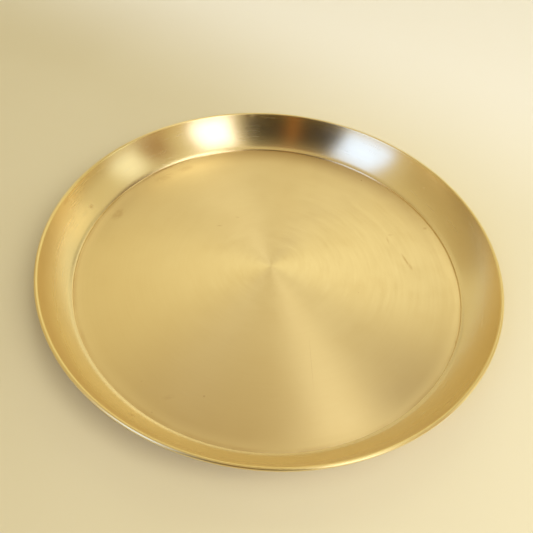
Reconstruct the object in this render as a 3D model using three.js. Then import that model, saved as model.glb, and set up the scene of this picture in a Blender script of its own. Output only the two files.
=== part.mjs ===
// A paten plate: a round shallow plate of spun brass sheet with a flat well, a small step
// round the well, a hollow flaring wall and an edge rolled outward over a ring of brass wire.
// Millimetres, +Z up. The origin is the centre of the flat underside, so the plate stands on z = 0.

import * as THREE from 'three';
import { mergeVertices } from 'three/addons/utils/BufferGeometryUtils.js';

// Driving dimensions
const OUTER_RADIUS = 150; // to the outside of the rolled edge
const HEIGHT = 26; // from the underside to the top of the rolled edge
const WELL_RADIUS = 131.6; // flat floor inside the step
const STEP_HEIGHT = 1.0; // the wall starts this far above the well's floor
const SHEET = 0.65; // thickness of the sheet, everywhere
const WIRE_DIAMETER = 0.9;
const WIRE_CLEARANCE = 0.05; // between the wire and the inside of the roll
const COVE_RADIUS = 9; // the small arc by which the wall leaves the step's lip
const COVE_SLOPE = 24; // degrees from the horizontal, at the lip
const WALL_TOP_SLOPE = 72; // degrees from the horizontal, where the wall runs into the roll
const ROLL_WRAP = 280; // degrees that the edge turns round the wire

// Fineness of the round surfaces
const ROUND_SEGMENTS = 96;
const COVE_STEPS = 3;
const WALL_STEPS = 5;
const ROLL_OUTSIDE_STEPS = 9;
const ROLL_INSIDE_STEPS = 7;
const WIRE_SIDES = 8;

// The roll: two concentric arcs round the wire's centre
const ROLL_INSIDE = WIRE_DIAMETER / 2 + WIRE_CLEARANCE;
const ROLL_OUTSIDE = ROLL_INSIDE + SHEET;
const ROLL_CENTRE = new THREE.Vector2(OUTER_RADIUS - ROLL_OUTSIDE, HEIGHT - ROLL_OUTSIDE);
const ROLL_START = THREE.MathUtils.degToRad(90 + WALL_TOP_SLOPE);
const ROLL_END = ROLL_START - THREE.MathUtils.degToRad(ROLL_WRAP);

// Points of an arc in the (radius, height) plane, both ends included
function arc(centre, radius, from, to, steps) {
  return Array.from({ length: steps + 1 }, (_, i) => {
    const angle = from + ((to - from) * i) / steps;
    return new THREE.Vector2(
      centre.x + radius * Math.cos(angle),
      centre.y + radius * Math.sin(angle),
    );
  });
}

// From an arc's centre, above, to its point where the surface has this slope
function downSlope(angle, radius) {
  return new THREE.Vector2(Math.sin(angle), -Math.cos(angle)).multiplyScalar(radius);
}

// The wall's upper surface rises from the step's lip by a small cove, then by one wide arc up to the
// start of the roll. The slope where they meet is the one that brings the wide arc to the roll with
// the slope given there, and a few rounds find it.
function wallArcs() {
  const lip = new THREE.Vector2(WELL_RADIUS, SHEET + STEP_HEIGHT);
  const top = arc(ROLL_CENTRE, ROLL_OUTSIDE, ROLL_START, ROLL_START, 1)[0];
  const lipSlope = THREE.MathUtils.degToRad(COVE_SLOPE);
  const topSlope = THREE.MathUtils.degToRad(WALL_TOP_SLOPE);
  const coveCentre = lip.clone().sub(downSlope(lipSlope, COVE_RADIUS));
  let meetSlope = lipSlope;
  let chord;
  for (let round = 0; round < 30; round += 1) {
    const meet = coveCentre.clone().add(downSlope(meetSlope, COVE_RADIUS));
    chord = top.clone().sub(meet);
    meetSlope = 2 * chord.angle() - topSlope;
  }
  const radius = chord.length() / (2 * Math.sin((topSlope - meetSlope) / 2));
  const quarter = Math.PI / 2;
  return {
    cove: { centre: coveCentre, radius: COVE_RADIUS, from: lipSlope - quarter, to: meetSlope - quarter },
    wide: {
      centre: top.clone().sub(downSlope(topSlope, radius)),
      radius,
      from: meetSlope - quarter,
      to: topSlope - quarter,
    },
  };
}

// Half of the plate's section, as one closed outline: along the upper surface from the axis,
// over the roll, and back along the underside
function dishOutline() {
  const { cove, wide } = wallArcs();
  const upper = [
    new THREE.Vector2(0, SHEET),
    new THREE.Vector2(WELL_RADIUS, SHEET),
    ...arc(cove.centre, cove.radius, cove.from, cove.to, COVE_STEPS),
    ...arc(wide.centre, wide.radius, wide.from, wide.to, WALL_STEPS).slice(1),
  ];
  const rollOutside = arc(ROLL_CENTRE, ROLL_OUTSIDE, ROLL_START, ROLL_END, ROLL_OUTSIDE_STEPS);
  const rollInside = arc(ROLL_CENTRE, ROLL_INSIDE, ROLL_END, ROLL_START, ROLL_INSIDE_STEPS);

  const heelRadius = WELL_RADIUS + SHEET;
  const heelAngle = -Math.acos((heelRadius - cove.centre.x) / (cove.radius + SHEET));
  const under = [
    ...arc(wide.centre, wide.radius + SHEET, wide.to, wide.from, WALL_STEPS).slice(1),
    ...arc(cove.centre, cove.radius + SHEET, cove.to, heelAngle, COVE_STEPS).slice(1),
    new THREE.Vector2(heelRadius, 0),
    new THREE.Vector2(0, 0),
  ];
  return [...upper, ...rollOutside.slice(1), ...rollInside, ...under];
}

// A solid of revolution about +Z from an outline of (radius, height) points. The lathe turns about
// its own Y, so the outline runs clockwise there and the result is stood up.
function turned(outline) {
  const lathe = new THREE.LatheGeometry([...outline].reverse(), ROUND_SEGMENTS);
  lathe.rotateX(Math.PI / 2);
  lathe.deleteAttribute('normal');
  lathe.deleteAttribute('uv');
  const merged = mergeVertices(lathe, 1e-4);
  merged.computeVertexNormals();
  return merged;
}

function brass(colour, roughness) {
  return new THREE.MeshStandardMaterial({ color: colour, roughness, metalness: 1 });
}

function spunDish() {
  const mesh = new THREE.Mesh(turned(dishOutline()), brass(0xd4aa5c, 0.34));
  mesh.name = 'spun_dish';
  return mesh;
}

// The core wire, bent to a closed ring with its ends butted
function rimWire() {
  const ring = new THREE.TorusGeometry(
    ROLL_CENTRE.x,
    WIRE_DIAMETER / 2,
    WIRE_SIDES,
    ROUND_SEGMENTS,
  );
  const mesh = new THREE.Mesh(ring, brass(0xc89a4a, 0.45));
  mesh.name = 'rim_wire';
  mesh.position.z = ROLL_CENTRE.y;
  return mesh;
}

const group = new THREE.Group();
group.add(spunDish());
group.add(rimWire());

export default group;
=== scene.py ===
"""A spun brass paten plate on a pale top, under soft window light. Metres, +Z up."""

import math

import bpy
from mathutils import Matrix, Vector


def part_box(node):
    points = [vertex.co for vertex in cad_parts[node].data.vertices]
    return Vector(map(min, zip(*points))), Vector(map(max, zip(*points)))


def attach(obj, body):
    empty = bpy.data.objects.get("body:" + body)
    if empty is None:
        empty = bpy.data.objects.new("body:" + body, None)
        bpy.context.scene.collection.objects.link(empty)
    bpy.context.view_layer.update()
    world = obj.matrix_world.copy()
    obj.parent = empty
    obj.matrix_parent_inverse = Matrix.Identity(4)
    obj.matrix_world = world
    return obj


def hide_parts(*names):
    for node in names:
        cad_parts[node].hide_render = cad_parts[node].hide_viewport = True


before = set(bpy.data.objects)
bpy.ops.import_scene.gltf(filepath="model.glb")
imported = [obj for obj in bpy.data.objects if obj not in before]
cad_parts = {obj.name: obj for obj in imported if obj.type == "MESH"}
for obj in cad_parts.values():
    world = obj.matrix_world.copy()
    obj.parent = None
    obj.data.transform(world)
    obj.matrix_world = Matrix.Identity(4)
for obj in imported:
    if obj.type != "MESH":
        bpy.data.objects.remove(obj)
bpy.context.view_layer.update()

MM = 0.001

# Sizes from the frame
WIRE_LOW, WIRE_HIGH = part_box("rim_wire")
DISH_LOW, DISH_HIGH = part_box("spun_dish")
WIRE_RADIUS = (WIRE_HIGH.z - WIRE_LOW.z) / 2
ROLL_R = WIRE_HIGH.x - WIRE_RADIUS
ROLL_Z = (WIRE_HIGH.z + WIRE_LOW.z) / 2
ROLL_OUTSIDE = DISH_HIGH.x - ROLL_R

# Sizes of the sheet and its bends, as the CAD part has them
SHEET = 0.65 * MM
WELL_RADIUS = 131.6 * MM
STEP_HEIGHT = 1.0 * MM
WALL_TOP_SLOPE = math.radians(72)
COVE_RADIUS = 9.0 * MM
COVE_SLOPE = math.radians(24)

# Finer than the CAD part
AROUND = 640
ROLL_WRAP = math.radians(292)
STEP_LEAN = 0.2 * MM
STEP_FOOT_FILLET = 0.25 * MM
STEP_LIP_FILLET = 0.45 * MM
HEEL_FILLET = 0.6 * MM
THROAT_FILLET = 0.2 * MM


# ---------------------------------------------------------------- outline of the sheet

def arc(centre, radius, start, end, steps):
    """Points of an arc in the (radius, height) plane, both ends included."""
    points = []
    for i in range(steps + 1):
        a = start + (end - start) * i / steps
        points.append(centre + radius * Vector((math.cos(a), math.sin(a))))
    return points


def line(start, end, steps):
    """Evenly spaced points after start, up to end."""
    return [start.lerp(end, i / steps) for i in range(1, steps + 1)]


def fillet(before, corner, after, radius, steps):
    """The arc that rounds a corner between two straight runs."""
    a = (before - corner).normalized()
    b = (after - corner).normalized()
    half = math.acos(max(-1.0, min(1.0, a.dot(b)))) / 2
    reach = radius / math.tan(half)
    centre = corner + (a + b).normalized() * (radius / math.sin(half))
    first = corner + a * reach - centre
    last = corner + b * reach - centre
    sweep = first.angle_signed(last)
    points = []
    for i in range(steps + 1):
        turn = -sweep * i / steps
        c, s = math.cos(turn), math.sin(turn)
        points.append(centre + Vector((first.x * c - first.y * s, first.x * s + first.y * c)))
    return points


ROLL_CENTRE = Vector((ROLL_R, ROLL_Z))
ROLL_START = math.pi / 2 + WALL_TOP_SLOPE
WALL_TOP = ROLL_CENTRE + ROLL_OUTSIDE * Vector((math.cos(ROLL_START), math.sin(ROLL_START)))
LIP = Vector((WELL_RADIUS + STEP_LEAN, SHEET + STEP_HEIGHT))


def down_slope(angle):
    """The direction from an arc's centre, above, to its point where the surface has this slope."""
    return Vector((math.sin(angle), -math.cos(angle)))


# The wall rises from the lip of the step by a small cove, then by one wide arc up to the roll. The
# slope where the two meet is the one that makes the wide arc end at the roll with the slope it has.
COVE_CENTRE = LIP - COVE_RADIUS * down_slope(COVE_SLOPE)
WALL_FOOT_SLOPE = COVE_SLOPE
for _ in range(30):
    WALL_FOOT = COVE_CENTRE + COVE_RADIUS * down_slope(WALL_FOOT_SLOPE)
    WALL_CHORD = WALL_TOP - WALL_FOOT
    WALL_FOOT_SLOPE = 2 * math.atan2(WALL_CHORD.y, WALL_CHORD.x) - WALL_TOP_SLOPE
WALL_RADIUS = WALL_CHORD.length / (2 * math.sin((WALL_TOP_SLOPE - WALL_FOOT_SLOPE) / 2))
WALL_CENTRE = WALL_TOP - WALL_RADIUS * down_slope(WALL_TOP_SLOPE)


def upper_outline():
    """Zones of (radius, height) points along the upper face, from the axis to the roll's start."""
    axis = Vector((0.0, SHEET))
    foot = Vector((WELL_RADIUS, SHEET))
    cove = arc(COVE_CENTRE, COVE_RADIUS, COVE_SLOPE - math.pi / 2, WALL_FOOT_SLOPE - math.pi / 2, 10)
    wall = arc(WALL_CENTRE, WALL_RADIUS, WALL_FOOT_SLOPE - math.pi / 2,
               WALL_TOP_SLOPE - math.pi / 2, 26)
    step_foot = fillet(axis, foot, LIP, STEP_FOOT_FILLET, 5)
    step_lip = fillet(foot, LIP, cove[1], STEP_LIP_FILLET, 5)
    floor = [axis] + line(axis, step_foot[0], 16)[:-1]
    return [("well", floor + step_foot), ("wall", step_lip + cove[1:] + wall[1:])]


def under_outline():
    """The same along the underside, from the wall's top back to the axis."""
    heel_r = WELL_RADIUS + STEP_LEAN / 2 + SHEET
    heel_slope = math.asin((heel_r - COVE_CENTRE.x) / (COVE_RADIUS + SHEET))
    wall = arc(WALL_CENTRE, WALL_RADIUS + SHEET, WALL_TOP_SLOPE - math.pi / 2,
               WALL_FOOT_SLOPE - math.pi / 2, 24)
    cove = arc(COVE_CENTRE, COVE_RADIUS + SHEET, WALL_FOOT_SLOPE - math.pi / 2,
               heel_slope - math.pi / 2, 8)
    heel = Vector((heel_r, 0.0))
    axis = Vector((0.0, 0.0))
    throat = fillet(cove[-2], cove[-1], heel, THROAT_FILLET, 3)
    round_heel = fillet(cove[-1], heel, axis, HEEL_FILLET, 5)
    return [("under", wall[1:] + cove[1:-1] + throat + round_heel + line(round_heel[-1], axis, 12))]


def roll_outline():
    """The rolled edge: over the wire on the outside, across the cut edge and back inside."""
    end = ROLL_START - ROLL_WRAP
    outside = arc(ROLL_CENTRE, ROLL_OUTSIDE, ROLL_START, end, 26)
    inside = arc(ROLL_CENTRE, ROLL_OUTSIDE - SHEET, end, ROLL_START, 18)
    return [("roll", outside[1:] + inside)]


# ---------------------------------------------------------------- small faults of a hand-spun plate

WELL_OFF_CENTRE = Vector((-0.45, -0.6, 0)) * MM
OUT_OF_ROUND = 0.12 * MM
WELL_WARP = 0.05 * MM

# Dents: azimuth and height of the middle, length round the plate, height up the wall and how far out
# the sheet is pushed.
DENTS = (
    (math.radians(98.2), 24.8 * MM, 2.4 * MM, 1.2 * MM, -0.30 * MM),
    (math.radians(99.9), 24.5 * MM, 1.6 * MM, 1.0 * MM, 0.20 * MM),
    (math.radians(102.0), 24.8 * MM, 3.0 * MM, 1.2 * MM, -0.28 * MM),
    (math.radians(241.6), 7.8 * MM, 5.0 * MM, 2.5 * MM, -0.06 * MM),
    (math.radians(22.4), 13.0 * MM, 6.0 * MM, 9.0 * MM, 0.05 * MM),
)


def faults(r, z, a):
    """How far the sheet lies from its true shape at radius r, height z and azimuth a."""
    up_wall = max(0.0, min(1.0, (z - SHEET) / (ROLL_Z - SHEET)))
    on_wall = 1.0 if r > WELL_RADIUS else 0.0
    shift = WELL_OFF_CENTRE * (1 - up_wall)
    lobes = math.sin(3 * a + 0.6) + 0.6 * math.sin(5 * a + 2.1) + 0.3 * math.sin(11 * a + 0.4)
    out = OUT_OF_ROUND * lobes * math.sin(math.pi * up_wall)
    for azimuth, rise, length, height, push in DENTS:
        along = math.remainder(a - azimuth, 2 * math.pi) * r / (length / 2)
        across = (z - rise) / (height / 2)
        out += push * math.exp(-along ** 2 - across ** 2)
    out *= on_wall
    lift = WELL_WARP * (1 + math.sin(2 * a + 1.0)) * (r / WELL_RADIUS) ** 2 * (1 - up_wall)
    return Vector((shift.x + out * math.cos(a), shift.y + out * math.sin(a), lift))


# ---------------------------------------------------------------- meshes

def turned_mesh(name, zones, materials):
    """A solid of revolution about +Z from a closed outline that starts and ends on the axis."""
    outline = []
    for zone, points in zones:
        for p in points:
            if not outline or (p - outline[-1][0]).length > 1e-7:
                outline.append((p, zone))
    first, last = outline[0][0], outline[-1][0]
    rings = outline[1:-1]
    vertices = [(0, 0, first.y)]
    for p, _ in rings:
        for i in range(AROUND):
            a = 2 * math.pi * i / AROUND
            v = Vector((p.x * math.cos(a), p.x * math.sin(a), p.y)) + faults(p.x, p.y, a)
            vertices.append(v)
    vertices.append((0, 0, last.y))
    vertices[0] = Vector(vertices[0]) + WELL_OFF_CENTRE
    vertices[-1] = Vector(vertices[-1]) + WELL_OFF_CENTRE
    slots = {zone: i for i, zone in enumerate(materials)}
    faces, indices = [], []
    for i in range(AROUND):
        j = (i + 1) % AROUND
        faces.append((0, 1 + i, 1 + j))
        indices.append(slots[rings[0][1]])
    for k in range(len(rings) - 1):
        near, far = 1 + k * AROUND, 1 + (k + 1) * AROUND
        for i in range(AROUND):
            j = (i + 1) % AROUND
            faces.append((near + i, far + i, far + j, near + j))
            indices.append(slots[rings[k + 1][1]])
    base = 1 + (len(rings) - 1) * AROUND
    for i in range(AROUND):
        j = (i + 1) % AROUND
        faces.append((base + i, len(vertices) - 1, base + j))
        indices.append(slots[rings[-1][1]])
    mesh = bpy.data.meshes.new(name)
    mesh.from_pydata([tuple(v) for v in vertices], [], faces)
    for material in materials.values():
        mesh.materials.append(material)
    mesh.polygons.foreach_set("material_index", indices)
    mesh.shade_smooth()
    mesh.update()
    return mesh


WIRE_SIDES = 20


def ring_mesh(name, radius, height, half_thickness, material):
    """A round ring about +Z, such as a bent wire, that follows the sheet's small faults."""
    sides = WIRE_SIDES
    vertices, faces = [], []
    for i in range(AROUND):
        a = 2 * math.pi * i / AROUND
        middle = Vector((radius * math.cos(a), radius * math.sin(a), height)) + faults(radius, height, a)
        for k in range(sides):
            t = 2 * math.pi * k / sides
            out = half_thickness * math.cos(t)
            rise = half_thickness * math.sin(t)
            vertices.append(middle + Vector((out * math.cos(a), out * math.sin(a), rise)))
    for i in range(AROUND):
        here, there = i * sides, (i + 1) % AROUND * sides
        for k in range(sides):
            n = (k + 1) % sides
            faces.append((here + k, there + k, there + n, here + n))
    mesh = bpy.data.meshes.new(name)
    mesh.from_pydata([tuple(v) for v in vertices], [], faces)
    mesh.materials.append(material)
    mesh.shade_smooth()
    return mesh


def add_object(name, data):
    thing = bpy.data.objects.new(name, data)
    bpy.context.scene.collection.objects.link(thing)
    return thing


# ---------------------------------------------------------------- materials

class Shader:
    """One node tree, built a node at a time.

    Inputs take a number, a colour, a vector or another node's output.
    """

    def __init__(self, tree):
        self.tree = tree

    def add(self, kind, inputs=None, **settings):
        node = self.tree.nodes.new("ShaderNode" + kind)
        for key, value in settings.items():
            setattr(node, key, value)
        for key, value in (inputs or {}).items():
            self.put(node.inputs[key], value)
        return node

    def put(self, socket, value):
        if isinstance(value, bpy.types.NodeSocket):
            self.tree.links.new(value, socket)
        else:
            socket.default_value = value

    def math(self, operation, a, b=0.0, clamp=False):
        return self.add("Math", {0: a, 1: b}, operation=operation, use_clamp=clamp).outputs[0]

    def vector(self, operation, a, b=(0, 0, 0)):
        return self.add("VectorMath", {0: a, 1: b}, operation=operation).outputs["Vector"]

    def scaled(self, vector, factor):
        node = self.add("VectorMath", {0: vector}, operation="SCALE")
        self.put(node.inputs["Scale"], factor)
        return node.outputs["Vector"]

    def ramp(self, value, low, high, to_low=0.0, to_high=1.0, smooth=True):
        """value, brought from low..high to to_low..to_high and held there outside it."""
        node = self.add("MapRange", {"Value": value, "From Min": low, "From Max": high,
                                     "To Min": to_low, "To Max": to_high},
                        interpolation_type="SMOOTHSTEP" if smooth else "LINEAR")
        return node.outputs["Result"]

    def noise(self, vector, scale, detail=2.0, roughness=0.5):
        node = self.add("TexNoise", {"Vector": vector, "Scale": scale, "Detail": detail,
                                     "Roughness": roughness})
        return node.outputs[0]

    def mix(self, factor, a, b):
        node = self.add("Mix", data_type="RGBA", clamp_factor=True)
        self.put(node.inputs[0], factor)
        self.put(node.inputs[6], a)
        self.put(node.inputs[7], b)
        return node.outputs[2]

    def sum_of(self, values):
        total = values[0]
        for value in values[1:]:
            total = self.math("ADD", total, value)
        return total


def new_shader(name):
    """A material with its Principled surface, and the Shader that builds its tree."""
    material = bpy.data.materials.new(name)
    material.use_nodes = True
    return material, Shader(material.node_tree), material.node_tree.nodes["Principled BSDF"].inputs


class TurnedCoordinates:
    """Where a surface point is about the plate's axis, for marks that a lathe leaves."""

    def __init__(self, s):
        self.s = s
        self.point = s.add("TexCoord").outputs["Object"]
        self.flat = s.vector("MULTIPLY", self.point, (1, 1, 0))
        self.radius = s.add("VectorMath", {0: self.flat}, operation="LENGTH").outputs["Value"]
        self.height = s.add("SeparateXYZ", {0: self.point}).outputs["Z"]
        self.around = s.vector("NORMALIZE", self.flat)
        self.across = s.math("ADD", self.radius, self.height)

    def grooves(self, pitch, turns, detail=2.0, start=0.0):
        """Noise drawn out along the turning: pitch is its size across, turns how often it changes round."""
        along = self.s.scaled(self.around, turns)
        across = self.s.math("ADD", self.s.math("MULTIPLY", self.across, 1 / pitch), start)
        lift = self.s.add("CombineXYZ", {"Z": across}).outputs[0]
        return self.s.noise(self.s.vector("ADD", along, lift), 1.0, detail, 0.6)


def spot(s, point, place, size, heading=0.0, edge=0.6, ragged=0.0, grain=250.0):
    """1 inside an ellipsoid at place, falling to 0 at its edge. size is its length, width and height."""
    if ragged:
        wobble = s.add("TexNoise", {"Vector": point, "Scale": grain, "Detail": 2.0}).outputs["Color"]
        wobble = s.scaled(s.vector("SUBTRACT", wobble, (0.5, 0.5, 0.5)), ragged)
        point = s.vector("ADD", point, wobble)
    local = s.add("Mapping", {"Vector": point, "Location": place, "Rotation": (0, 0, heading),
                              "Scale": [v / 2 for v in size]}, vector_type="TEXTURE").outputs[0]
    distance = s.add("VectorMath", {0: local}, operation="LENGTH").outputs["Value"]
    return s.ramp(distance, 1.0, 1.0 - edge)


# Stains, specks and one scratch that the plate has picked up: place on the plate, length and width,
# all in millimetres, heading in degrees, how strongly it shows, and how ragged its edge is.
WELL_STAINS = (
    (96, 19, 17, 2.6, -69, 0.42, 1.2),
    (99, 13, 9, 3.4, -66, 0.25, 1.0),
    (84.5, 37, 11, 1.6, -80, 0.26, 1.5),
    (86.5, 43, 6, 1.8, 10, 0.22, 1.5),
    (114, 54, 4.5, 3.5, 30, 0.35, 1.2),
    (-117, 35, 18, 10, 70, 0.30, 4.0),
    (-78, 95, 22, 10, 38, 0.22, 4.0),
    (-93, 81, 26, 12, 45, 0.20, 5.0),
    (-41, 34, 6, 1.6, 5, 0.28, 1.0),
    (-29, 45, 5, 1.4, -8, 0.25, 1.0),
    (-50, -106, 9, 5, 20, 0.16, 3.0),
)
WELL_SPECKS = (
    (67, 103.5, 1.5, 0.75),
    (122, -47.5, 1.1, 0.7),
    (61, -15.5, 0.9, 0.4),
    (-30, -103, 1.8, 0.35),
    (-67, -98, 1.0, 0.35),
    (-57, -116, 1.2, 0.35),
    (-12, 71, 0.8, 0.3),
    (24, -78, 0.7, 0.3),
)
# The same on the wall: place, length round the plate, breadth, how strongly it shows.
WALL_STAINS = (
    (-134.6, 32.3, 8.3, 6.0, 5.0, 0.35),
    (-138.0, 25.0, 7.5, 12.0, 6.0, 0.15),
    (-145.2, 19.0, 23.4, 15.0, 5.5, 0.42),
    (-145.6, -15.0, 23.4, 18.0, 4.5, 0.42),
    (-65.5, -121.0, 8.0, 7.0, 7.0, 0.30),
    (88.0, 108.0, 14.0, 9.0, 6.0, 0.2),
)
SCRATCH = ((30.5, -73.5, 0.65), (47, 0.28, 2), math.radians(-84))
SCRATCH_STRENGTH = 0.35

# Darkening in the corner of the step and on the step's face, and painted shade over the upper near wall.
CORNER_DARKENING_WIDTH = 2.5 * MM
CORNER_DARKENING = 0.35
STEP_FACE_DARKENING = 0.3
NEAR_WALL_SHADE_HEIGHTS = (7 * MM, 22 * MM)
NEAR_WALL_SHADE = 0.36
ROUGHER_UNDER_STAIN_AND_SHADE = 0.12


def brass(name, tones, mottle, roughness, anisotropy, stains, grooves, bump):
    """Turned and brushed brass.

    tones: the clean colour, the tarnished one and the one for stains and painted shade. mottle: how much the
    tarnish shows.
    roughness: its middle and how much the brushing changes it. grooves: pitch and turns of the coarse
    and fine brushing. bump: depth of both.
    """
    material, s, surface = new_shader(name)
    at = TurnedCoordinates(s)
    clean, tarnished, stain_and_shade_tone = [(*c, 1) for c in tones]

    coarse = at.grooves(grooves[0][0], grooves[0][1])
    fine = at.grooves(grooves[1][0], grooves[1][1], detail=3.0, start=7.0)
    broad = s.noise(at.point, 22.0, 3.0)
    clouds = s.noise(s.vector("ADD", at.point, (3.1, 1.7, 0.0)), 60.0, 2.0)

    tarnish = s.sum_of([
        s.ramp(broad, 0.35, 0.75, 0.0, 0.5 * mottle),
        s.ramp(clouds, 0.45, 0.75, 0.0, 0.2 * mottle),
        s.ramp(coarse, 0.3, 0.7, 0.0, 0.15 * mottle),
        s.ramp(fine, 0.35, 0.65, 0.0, 0.15 * mottle),
    ])
    colour = s.mix(tarnish, clean, tarnished)
    marks = [s.math("MULTIPLY", mask, strength) for mask, strength in stains(s, at)]
    # Stains and specks, and on the wall painted shade, mix the brass towards the brown tone.
    if marks:
        stain_and_shade = marks[0]
        for mark in marks[1:]:
            stain_and_shade = s.math("MAXIMUM", stain_and_shade, mark)
        colour = s.mix(stain_and_shade, colour, stain_and_shade_tone)
    s.put(surface["Base Color"], colour)
    s.put(surface["Metallic"], 1.0)

    middle, swing = roughness
    rough = s.sum_of([
        s.ramp(coarse, 0.25, 0.75, middle - swing, middle + swing, smooth=False),
        s.ramp(fine, 0.25, 0.75, -swing / 2, swing / 2, smooth=False),
        s.ramp(clouds, 0.4, 0.8, 0.0, swing),
    ])
    if marks:
        rough = s.math("ADD", rough, s.math("MULTIPLY", stain_and_shade, ROUGHER_UNDER_STAIN_AND_SHADE))
    s.put(surface["Roughness"], rough)

    s.put(surface["Anisotropic"], anisotropy)
    s.put(surface["Anisotropic Rotation"], 0.25)
    s.put(surface["Tangent"], s.add("Tangent", direction_type="RADIAL", axis="Z").outputs[0])

    height = s.math("ADD", s.math("MULTIPLY", coarse, bump[0]), s.math("MULTIPLY", fine, bump[1]))
    relief = s.add("Bump", {"Strength": 1.0, "Distance": 1.0, "Height": height})
    s.put(surface["Normal"], relief.outputs[0])
    return material


def well_stains(s, at):
    """Masks and strengths of what shows on the well: stains, specks, the scratch and darkening by the step.
    """
    masks = []
    for x, y, length, width, heading, strength, ragged in WELL_STAINS:
        mask = spot(s, at.point, (x * MM, y * MM, SHEET), (length * MM, width * MM, 2 * MM),
                    math.radians(heading), 0.8, ragged * MM)
        masks.append((mask, strength))
    for x, y, size, strength in WELL_SPECKS:
        mask = spot(s, at.point, (x * MM, y * MM, SHEET), (size * MM, size * MM, 2 * MM), 0.0, 0.6, 0.5 * MM)
        masks.append((mask, strength))
    place, size, heading = SCRATCH
    scratch = spot(s, at.point, [v * MM for v in place], [v * MM for v in size], heading, 0.7)
    masks.append((scratch, SCRATCH_STRENGTH))
    # Darker in an uneven band round the foot of the step.
    corner_band = s.ramp(at.radius, WELL_RADIUS - CORNER_DARKENING_WIDTH, WELL_RADIUS, 0.0, 1.0)
    uneven = s.ramp(s.noise(at.point, 40.0), 0.3, 0.7, 0.3, 1.0)
    masks.append((s.math("MULTIPLY", corner_band, uneven), CORNER_DARKENING))
    return masks


def wall_stains_and_shade(s, at):
    """The same on the wall: stains, darkening at the step and a band of painted shade on the near side below
    the rim.
    """
    masks = []
    for x, y, z, length, breadth, strength in WALL_STAINS:
        mask = spot(s, at.point, (x * MM, y * MM, z * MM), (breadth * MM, length * MM, breadth * MM),
                    math.atan2(y, x), 0.9, 2.0 * MM)
        masks.append((mask, strength))
    # Darker on the face of the step.
    foot = s.ramp(at.height, SHEET + 0.9 * STEP_HEIGHT, SHEET + 0.2 * STEP_HEIGHT)
    masks.append((foot, STEP_FACE_DARKENING))
    place = s.add("SeparateXYZ", {0: at.point}).outputs
    # Painted shade: the upper part of the near wall, towards the front left, is darkened to a brown tone and
    # made rougher.
    near = s.ramp(s.math("ADD", place["Y"], s.math("MULTIPLY", place["X"], 0.5)), 0.0, -0.12)
    near_wall_shade = s.math("MULTIPLY", near, s.ramp(at.height, *NEAR_WALL_SHADE_HEIGHTS))
    masks.append((near_wall_shade, NEAR_WALL_SHADE))
    return masks


def no_stains(s, at):
    return []


STAIN_AND_SHADE = (0.55, 0.34, 0.12)
WELL_TONES = ((0.88, 0.725, 0.41), (0.81, 0.63, 0.31), STAIN_AND_SHADE)
WALL_TONES = ((0.86, 0.73, 0.45), (0.80, 0.65, 0.36), STAIN_AND_SHADE)
ROLL_TONES = ((0.89, 0.74, 0.38), (0.80, 0.61, 0.26), STAIN_AND_SHADE)
UNDER_TONES = ((0.80, 0.61, 0.28), (0.66, 0.46, 0.18), STAIN_AND_SHADE)

MATERIALS = {
    "well": brass("brass_well", WELL_TONES, 0.35, (0.31, 0.025), 0.8, well_stains,
                  ((1.9 * MM, 2.0), (0.7 * MM, 5.0)), (0.0110 * MM, 0.0080 * MM)),
    "wall": brass("brass_wall", WALL_TONES, 0.25, (0.26, 0.010), 0.8, wall_stains_and_shade,
                  ((1.6 * MM, 2.0), (0.6 * MM, 4.0)), (0.0020 * MM, 0.0010 * MM)),
    "roll": brass("brass_roll", ROLL_TONES, 0.5, (0.30, 0.02), 0.5, no_stains,
                  ((1.2 * MM, 3.0), (0.5 * MM, 6.0)), (0.0020 * MM, 0.0010 * MM)),
    "under": brass("brass_under", UNDER_TONES, 1.0, (0.38, 0.05), 0.7, no_stains,
                   ((2.2 * MM, 2.0), (0.8 * MM, 5.0)), (0.014 * MM, 0.007 * MM)),
}


# ---------------------------------------------------------------- the plate

def make_dish():
    zones = upper_outline() + roll_outline() + under_outline()
    dish = add_object("dish", turned_mesh("dish", zones, MATERIALS))
    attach(dish, "root")
    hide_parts("spun_dish")
    return dish


def make_wire():
    """The round wire that the edge is rolled over, seen only through the slit under the roll."""
    material = brass("brass_wire", UNDER_TONES, 0.8, (0.34, 0.03), 0.5, no_stains,
                     ((0.5 * MM, 2.0), (0.2 * MM, 6.0)), (0.0020 * MM, 0.0010 * MM))
    wire = add_object("core_wire", ring_mesh("core_wire", ROLL_R, ROLL_Z, WIRE_RADIUS, material))
    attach(wire, "root")
    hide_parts("rim_wire")
    return wire


make_dish()
make_wire()


# ---------------------------------------------------------------- camera, floor and light

CAMERA_DISTANCE = 363.4 * MM
CAMERA_ELEVATION = math.radians(48.99)
CAMERA_TARGET_Z = 1.2 * MM
CAMERA_PAN = 0.0082
CAMERA_TILT = -0.0030
CAMERA_ROLL = -0.1056
CAMERA_FIELD_OF_VIEW = math.radians(54.21)


def make_camera():
    data = bpy.data.cameras.new("camera")
    data.sensor_width = 36
    data.lens = data.sensor_width / 2 / math.tan(CAMERA_FIELD_OF_VIEW / 2)
    data.clip_start = 0.01
    camera = add_object("camera", data)
    back = Vector((0, -math.cos(CAMERA_ELEVATION), math.sin(CAMERA_ELEVATION)))
    right = Vector((1, 0, 0))
    up = back.cross(right)
    forward = -back
    for angle, axis in ((CAMERA_PAN, "up"), (CAMERA_TILT, "right"), (CAMERA_ROLL, "forward")):
        about = {"up": up, "right": right, "forward": forward}[axis]
        turn = Matrix.Rotation(angle, 3, about)
        forward, right, up = turn @ forward, turn @ right, turn @ up
    place = back * CAMERA_DISTANCE + Vector((0, 0, CAMERA_TARGET_Z))
    turn = Matrix((right, up, -forward)).transposed()
    camera.matrix_world = Matrix.Translation(place) @ turn.to_4x4()
    bpy.context.scene.camera = camera


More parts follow.
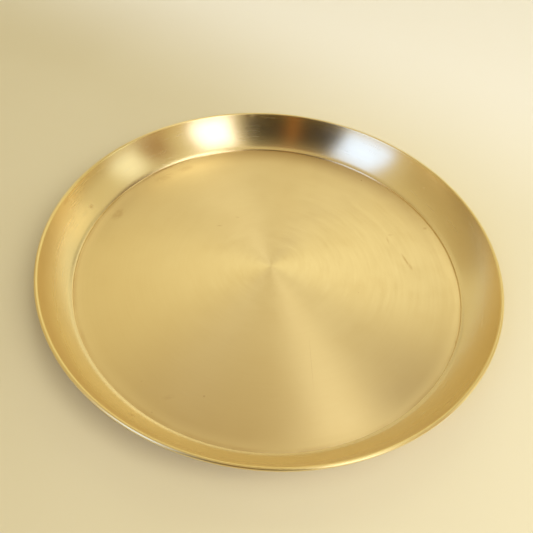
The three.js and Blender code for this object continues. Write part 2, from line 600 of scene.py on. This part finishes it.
# Painted light and shade on the pale top: darker to the left, on the shadow side, and lighter to the right
# and further back, towards the light.
FLOOR_SHADED_LEFT = (0.64, 0.58, 0.38, 1)
FLOOR_LIT_RIGHT = (0.84, 0.80, 0.61, 1)
FLOOR_LIT_FAR = (0.90, 0.89, 0.80, 1)
FLOOR_ROUGHNESS = 0.55
FLOOR_HALF = 3.0


def make_floor():
    material, s, surface = new_shader("pale_top")
    point = s.add("TexCoord").outputs["Object"]
    drift = s.ramp(s.noise(point, 4.0, 2.0), 0.3, 0.7, -0.08, 0.08)
    place = s.add("SeparateXYZ", {0: point}).outputs
    # Painted light: the floor colour blends from the shaded left to the lit right, and to a lighter tone
    # further back.
    side = s.math("ADD", s.ramp(place["X"], -0.28, 0.35), drift)
    away = s.ramp(s.math("ADD", place["Y"], s.math("MULTIPLY", place["X"], 0.5)), 0.12, 0.42)
    s.put(surface["Base Color"], s.mix(away, s.mix(side, FLOOR_SHADED_LEFT, FLOOR_LIT_RIGHT), FLOOR_LIT_FAR))
    s.put(surface["Roughness"], FLOOR_ROUGHNESS)
    mesh = bpy.data.meshes.new("floor")
    half = FLOOR_HALF
    mesh.from_pydata([(-half, -half, 0), (half, -half, 0), (half, half, 0), (-half, half, 0)], [],
                     [(0, 1, 2, 3)])
    mesh.materials.append(material)
    floor = add_object("floor", mesh)


KEY_AZIMUTH = math.radians(325)
KEY_ELEVATION = math.radians(50)
KEY_DISTANCE = 1.5
KEY_SIZE = 0.9
KEY_POWER = 10.0
KEY_COLOUR = (1.0, 0.95, 0.85)


def make_key():
    """A soft light on the pale top only: the brass has the room's panels to reflect instead."""
    data = bpy.data.lights.new("key", "AREA")
    data.shape = "DISK"
    data.size = KEY_SIZE
    data.energy = KEY_POWER
    data.color = KEY_COLOUR
    key = add_object("key", data)
    key.visible_glossy = False
    level = math.cos(KEY_ELEVATION)
    toward = Vector((level * math.cos(KEY_AZIMUTH), level * math.sin(KEY_AZIMUTH), math.sin(KEY_ELEVATION)))
    key.location = toward * KEY_DISTANCE
    key.rotation_euler = toward.to_track_quat("Z", "Y").to_euler()


# The room, which only gives light and reflections. Each patch lies over the ones before it. It has the
# azimuth and elevation of its middle (0 is +X, 90 is +Y), its width and height and the softness of its
# edge, in degrees, and its light, where 1 is white paper.
ROOM = (
    ("ceiling", 0, 90, 360, 64, 16, (0.66, 0.55, 0.30)),
    ("back_wall", 78, 12, 144, 64, 16, (0.80, 0.69, 0.40)),
    ("left_wall", 172, 10, 60, 46, 14, (0.55, 0.42, 0.20)),
    ("back_band", 105, 30, 32, 22, 8, (0.58, 0.48, 0.28)),
    ("back_light", 79, 48, 46, 20, 8, (1.24, 1.18, 0.87)),
    ("right_back_dim", 44, 28, 26, 16, 8, (0.28, 0.22, 0.11)),
    ("back_high_dark", 102, 70, 84, 22, 8, (0.28, 0.16, 0.06)),
    ("right_back_dark", 40, 57, 52, 14, 6, (0.12, 0.03, 0.01)),
    ("right_middle", 4, 46, 30, 20, 8, (0.72, 0.62, 0.38)),
    ("right_high_light", 10, 71.5, 68, 12, 5, (3.1, 3.1, 2.8)),
    ("right_upper", 316, 56, 40, 22, 8, (0.9, 0.75, 0.42)),
    ("front_dark", 266, 22, 54, 66, 8, (0.01, 0.005, 0.0)),
    ("front_high", 262, 64, 40, 16, 8, (0.7, 0.5, 0.25)),
    ("figure_strip", 266, 25, 6, 50, 4, (0.36, 0.13, 0.02)),
    ("left_window", 225, 30, 26, 44, 4, (1.2, 1.6, 2.9)),
    ("right_window", 309, 26, 20, 44, 4, (2.7, 2.7, 3.0)),
    ("right_dark", 340, 18, 14, 40, 8, (0.38, 0.21, 0.08)),
    ("right_light", 357, 18, 14, 40, 8, (1.35, 1.35, 1.1)),
    ("right_dim", 34, 12, 18, 32, 8, (1.2, 1.05, 0.62)),
    ("back_low", 64, 7, 48, 24, 10, (1.1, 1.05, 0.72)),
)
ROOM_BASE = (0.73, 0.61, 0.33)


def make_room():
    world = bpy.data.worlds.new("room")
    world.use_nodes = True
    s = Shader(world.node_tree)
    direction = s.add("SeparateXYZ", {0: s.add("TexCoord").outputs["Generated"]}).outputs
    azimuth = s.math("DEGREES", s.math("ARCTAN2", direction["Y"], direction["X"]))
    elevation = s.math("DEGREES", s.math("ARCSINE", direction["Z"]))
    light = s.add("RGB", label="base").outputs[0]
    light.default_value = (*ROOM_BASE, 1)
    for name, turn, rise, width, height, edge, colour in ROOM:
        off_turn = s.add("Math", {0: s.math("SUBTRACT", azimuth, turn), 1: 180.0, 2: -180.0},
                         operation="WRAP").outputs[0]
        off_rise = s.math("SUBTRACT", elevation, rise)
        sides = s.ramp(s.math("ABSOLUTE", off_turn), (width + edge) / 2, (width - edge) / 2)
        ends = s.ramp(s.math("ABSOLUTE", off_rise), (height + edge) / 2, (height - edge) / 2)
        light = s.mix(s.math("MULTIPLY", sides, ends), light, (*colour, 1))
        light.node.label = name
    s.put(world.node_tree.nodes["Background"].inputs["Color"], light)
    bpy.context.scene.world = world


make_camera()
make_floor()
make_key()
make_room()
bpy.context.scene.view_settings.view_transform = "Standard"
